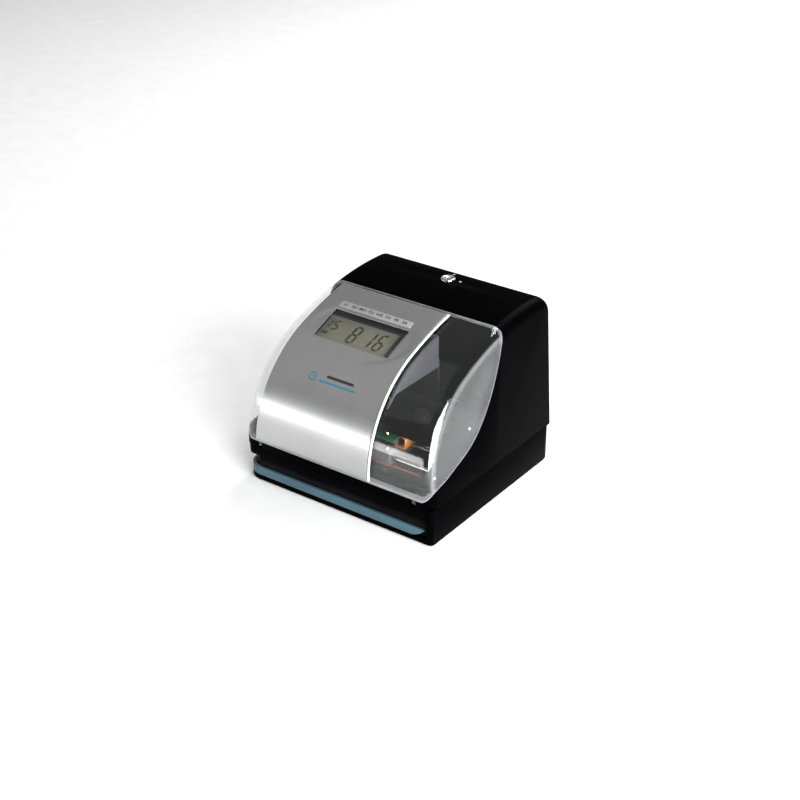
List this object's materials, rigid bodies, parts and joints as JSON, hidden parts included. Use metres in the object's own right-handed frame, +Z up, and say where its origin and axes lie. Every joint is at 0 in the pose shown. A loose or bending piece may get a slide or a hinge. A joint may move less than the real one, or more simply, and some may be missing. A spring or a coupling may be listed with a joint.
{
  "type": "punch time clock",
  "caption": "Desktop punch time clock with a curved hinged hood, display window, keyed latch, card throat and travelling print head.",
  "frame": {"origin": "centre of the footprint, on the surface that the rubber feet stand on", "axes": "+X to the clock's right side, +Y to its back, +Z up; the card throat faces -Y"},
  "size_m": [0.165, 0.162, 0.1295],
  "materials": {
    "black_plastic": "gloss black moulded",
    "charcoal_plastic": "fine satin",
    "blue_plastic": "satin blue",
    "clear_plastic": "clear polished",
    "silver_paint": "satin silver paint",
    "label_print": "printed film",
    "rubber": "matte",
    "steel": "satin",
    "brass": "turned brass",
    "board": "solder mask",
    "lcd": "liquid crystal glass",
    "grey_plastic": "satin",
    "white_plastic": "satin",
    "flex": "amber film"
  },
  "bodies": {
    "base": {"base_pan": "black_plastic", "base_screw_1": "steel", "base_screw_2": "steel", "base_screw_3": "steel", "base_screw_4": "steel", "battery_pack": "blue_plastic", "blue_trim_strip": "blue_plastic", "bracket_post": "steel", "cross_brace": "steel", "display_board": "board", "display_bracket": "grey_plastic", "drive_belt": "rubber", "guide_shaft_front": "steel", "guide_shaft_rear": "steel", "hood_pin_left": "steel", "hood_pin_right": "steel", "idler_bracket": "steel", "latch_guide": "steel", "lcd_frame": "charcoal_plastic", "lcd_module": "lcd", "lock_barrel": "steel", "lock_nut": "steel", "main_board": "board", "mech_plate_left": "steel", "mech_plate_right": "steel", "microswitch": "charcoal_plastic", "motor_bracket": "steel", "paper_table": "charcoal_plastic", "platen": "rubber", "power_inlet": "charcoal_plastic", "ribbon_cassette": "charcoal_plastic", "ribbon_shield": "clear_plastic", "rubber_foot_1": "rubber", "rubber_foot_2": "rubber", "rubber_foot_3": "rubber", "rubber_foot_4": "rubber", "stepper_motor": "steel", "stop_bar": "steel", "throat_guide": "charcoal_plastic", "transformer": "steel", "trigger_pin": "steel", "upper_housing": "black_plastic"},
    "cover": {"clear_hood": "clear_plastic", "silver_panel": "silver_paint", "weekday_label": "label_print", "hood_catch": "steel"},
    "key_plug": {"lock_plug": "steel", "lock_cam": "steel"},
    "latch": {"latch_bar": "steel"},
    "carriage": {"print_carriage": "grey_plastic", "print_head": "charcoal_plastic", "head_board": "board", "head_flex": "flex"},
    "motor_wheel": {"motor_pulley": "brass"},
    "idler_wheel": {"idler_pulley": "brass"},
    "knob": {"ribbon_knob": "charcoal_plastic"},
    "button_1": {"set_button_1": "grey_plastic"},
    "button_2": {"set_button_2": "grey_plastic"},
    "button_3": {"set_button_3": "grey_plastic"},
    "trigger": {"trigger_lever": "white_plastic"}
  },
  "joints": [
    {"name": "hood_hinge", "type": "hinge", "parent": "base", "child": "cover", "pos_m": [0, -0.0776, 0.0306], "axis": [1, 0, 0], "range_deg": [0, 92]},
    {"name": "key_turn", "type": "hinge", "parent": "base", "child": "key_plug", "pos_m": [0, 0.05809, 0.12771], "axis": [0, -0.0032, -1], "range_deg": [0, 90]},
    {"name": "latch_slide", "type": "slide", "parent": "base", "child": "latch", "axis": [0, -1, 0], "range_m": [0, 0.006]},
    {"name": "carriage_slide", "type": "slide", "parent": "base", "child": "carriage", "axis": [1, 0, 0], "range_m": [-0.046, 0.024]},
    {"name": "motor_spin", "type": "hinge", "parent": "base", "child": "motor_wheel", "pos_m": [-0.054, -0.02, 0.056], "axis": [0, 0, 1], "continuous": true},
    {"name": "idler_spin", "type": "hinge", "parent": "base", "child": "idler_wheel", "pos_m": [0.058, -0.02, 0.056], "axis": [0, 0, 1], "continuous": true},
    {"name": "ribbon_turn", "type": "hinge", "parent": "base", "child": "knob", "pos_m": [0.052, -0.048, 0.0764], "axis": [0, 0, 1], "continuous": true},
    {"name": "button_1_press", "type": "slide", "parent": "base", "child": "button_1", "axis": [0, 0.3571, -0.9341], "range_m": [0, 0.0007], "stiffness_N_per_m": 80, "springref_m": -0.0005},
    {"name": "button_2_press", "type": "slide", "parent": "base", "child": "button_2", "axis": [0, 0.3571, -0.9341], "range_m": [0, 0.0007], "stiffness_N_per_m": 80, "springref_m": -0.0005},
    {"name": "button_3_press", "type": "slide", "parent": "base", "child": "button_3", "axis": [0, 0.3571, -0.9341], "range_m": [0, 0.0007], "stiffness_N_per_m": 80, "springref_m": -0.0005},
    {"name": "trigger_swing", "type": "hinge", "parent": "base", "child": "trigger", "pos_m": [-0.02, -0.012, 0.036], "axis": [1, 0, 0], "range_deg": [0, 12], "stiffness_Nm_per_rad": 0.004, "springref_deg": -11.46}
  ],
  "couplings": [
    {"joint": "key_turn", "follows": "latch_slide", "rad_per_m": 261.54},
    {"joint": "motor_spin", "follows": "carriage_slide", "rad_per_m": 166.67},
    {"joint": "idler_spin", "follows": "carriage_slide", "rad_per_m": 166.67}
  ]
}
